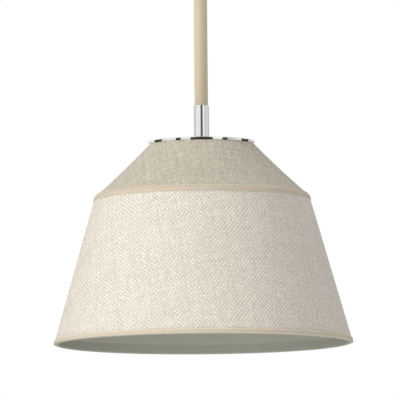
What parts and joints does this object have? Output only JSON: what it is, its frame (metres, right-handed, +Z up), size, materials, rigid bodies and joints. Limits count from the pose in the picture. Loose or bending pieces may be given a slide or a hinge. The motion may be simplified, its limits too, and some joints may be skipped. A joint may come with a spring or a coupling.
{
  "type": "pendant lamp shade",
  "caption": "Two-tier conical fabric shade on wire rings, hung by a covered stem from a ceiling canopy with a swivel, with its socket and bulb.",
  "frame": {"origin": "middle of the mounting strap's top face, on the ceiling plane", "axes": "+Z up along the stem, -Y towards the front of the shade, +X along the mounting strap"},
  "size_m": [0.4552, 0.4552, 0.6791],
  "materials": {
    "polished_nickel": "polished nickel plate",
    "zinc_steel": "zinc plated",
    "green_screw": "green anodised",
    "white_enamel": "white enamel on wire",
    "grey_liner": "grey-green laminated styrene, matt",
    "grey_binding": "grey-green cotton binding strip",
    "taupe_linen": "fine taupe linen",
    "oatmeal_weave": "coarse oatmeal basket weave",
    "tan_tape": "tan cotton bias tape",
    "tan_sleeve": "tan leather sleeve, satin, sewn along the back",
    "fibreboard": "pressed fibreboard",
    "phenolic": "black phenolic",
    "brass": "plain brass",
    "tinned_metal": "bright",
    "bulb_plastic": "white satin",
    "opal_globe": "opal diffuser",
    "circuit_board": "white solder mask",
    "black_lead": "black insulation",
    "white_lead": "white insulation",
    "green_lead": "green insulation",
    "orange_nylon": "orange nylon"
  },
  "bodies": {
    "ceiling_fitting": {"mounting_strap": "zinc_steel", "ground_screw": "green_screw", "canopy": "polished_nickel", "canopy_stud_right": "zinc_steel", "canopy_stud_left": "zinc_steel", "canopy_cap_nut_right": "polished_nickel", "canopy_cap_nut_left": "polished_nickel", "canopy_nipple": "zinc_steel", "canopy_lock_nut": "zinc_steel", "swivel_retaining_nut": "zinc_steel", "canopy_lead_hot": "black_lead", "canopy_lead_neutral": "white_lead", "wire_nut_hot": "orange_nylon", "wire_nut_neutral": "orange_nylon", "ground_lead": "green_lead"},
    "swivel": {"swivel_yoke": "polished_nickel", "pivot_screw_right": "polished_nickel", "pivot_screw_left": "polished_nickel"},
    "pendant": {"stem_knuckle": "polished_nickel", "stem_nipple": "zinc_steel", "upper_ferrule": "polished_nickel", "stem_tube": "zinc_steel", "stem_sleeve": "tan_sleeve", "lower_ferrule": "polished_nickel", "shade_nipple": "zinc_steel", "vent_cap": "polished_nickel", "shade_spider": "white_enamel", "spider_washer": "zinc_steel", "spider_lock_nut": "zinc_steel", "waist_ring": "white_enamel", "rim_ring": "white_enamel", "upper_liner": "grey_liner", "lower_liner": "grey_liner", "upper_fabric": "taupe_linen", "lower_fabric": "oatmeal_weave", "waist_tape": "tan_tape", "rim_tape": "tan_tape", "rim_binding": "grey_binding", "socket_cap": "polished_nickel", "socket_shell": "polished_nickel", "socket_insulating_sleeve": "fibreboard", "socket_base": "phenolic", "terminal_screw_hot": "brass", "terminal_screw_neutral": "tinned_metal", "socket_screw_shell": "brass", "socket_contact": "brass", "stem_lead_hot": "black_lead", "stem_lead_neutral": "white_lead"},
    "bulb_contact": {"bulb_tip_contact": "tinned_metal"},
    "bulb": {"bulb_insulator": "phenolic", "bulb_screw_shell": "tinned_metal", "bulb_housing": "bulb_plastic", "bulb_led_board": "circuit_board", "bulb_globe": "opal_globe"}
  },
  "joints": [
    {"name": "canopy_swivel", "type": "hinge", "parent": "ceiling_fitting", "child": "swivel", "pos_m": [0, 0, -0.0286], "axis": [0, 0, 1], "range_deg": [-170, 170]},
    {"name": "stem_tilt", "type": "hinge", "parent": "swivel", "child": "pendant", "pos_m": [0, 0, -0.047], "axis": [1, 0, 0], "range_deg": [-45, 45]},
    {"name": "bulb_travel", "type": "slide", "parent": "pendant", "child": "bulb_contact", "axis": [0, 0, -1], "range_m": [0, 0.01089]},
    {"name": "bulb_turn", "type": "hinge", "parent": "bulb_contact", "child": "bulb", "pos_m": [0, 0, -0.4305], "axis": [0, 0, -1], "range_deg": [0, 1080]}
  ],
  "couplings": [
    {"joint": "bulb_turn", "follows": "bulb_travel", "rad_per_m": 1731.4}
  ]
}
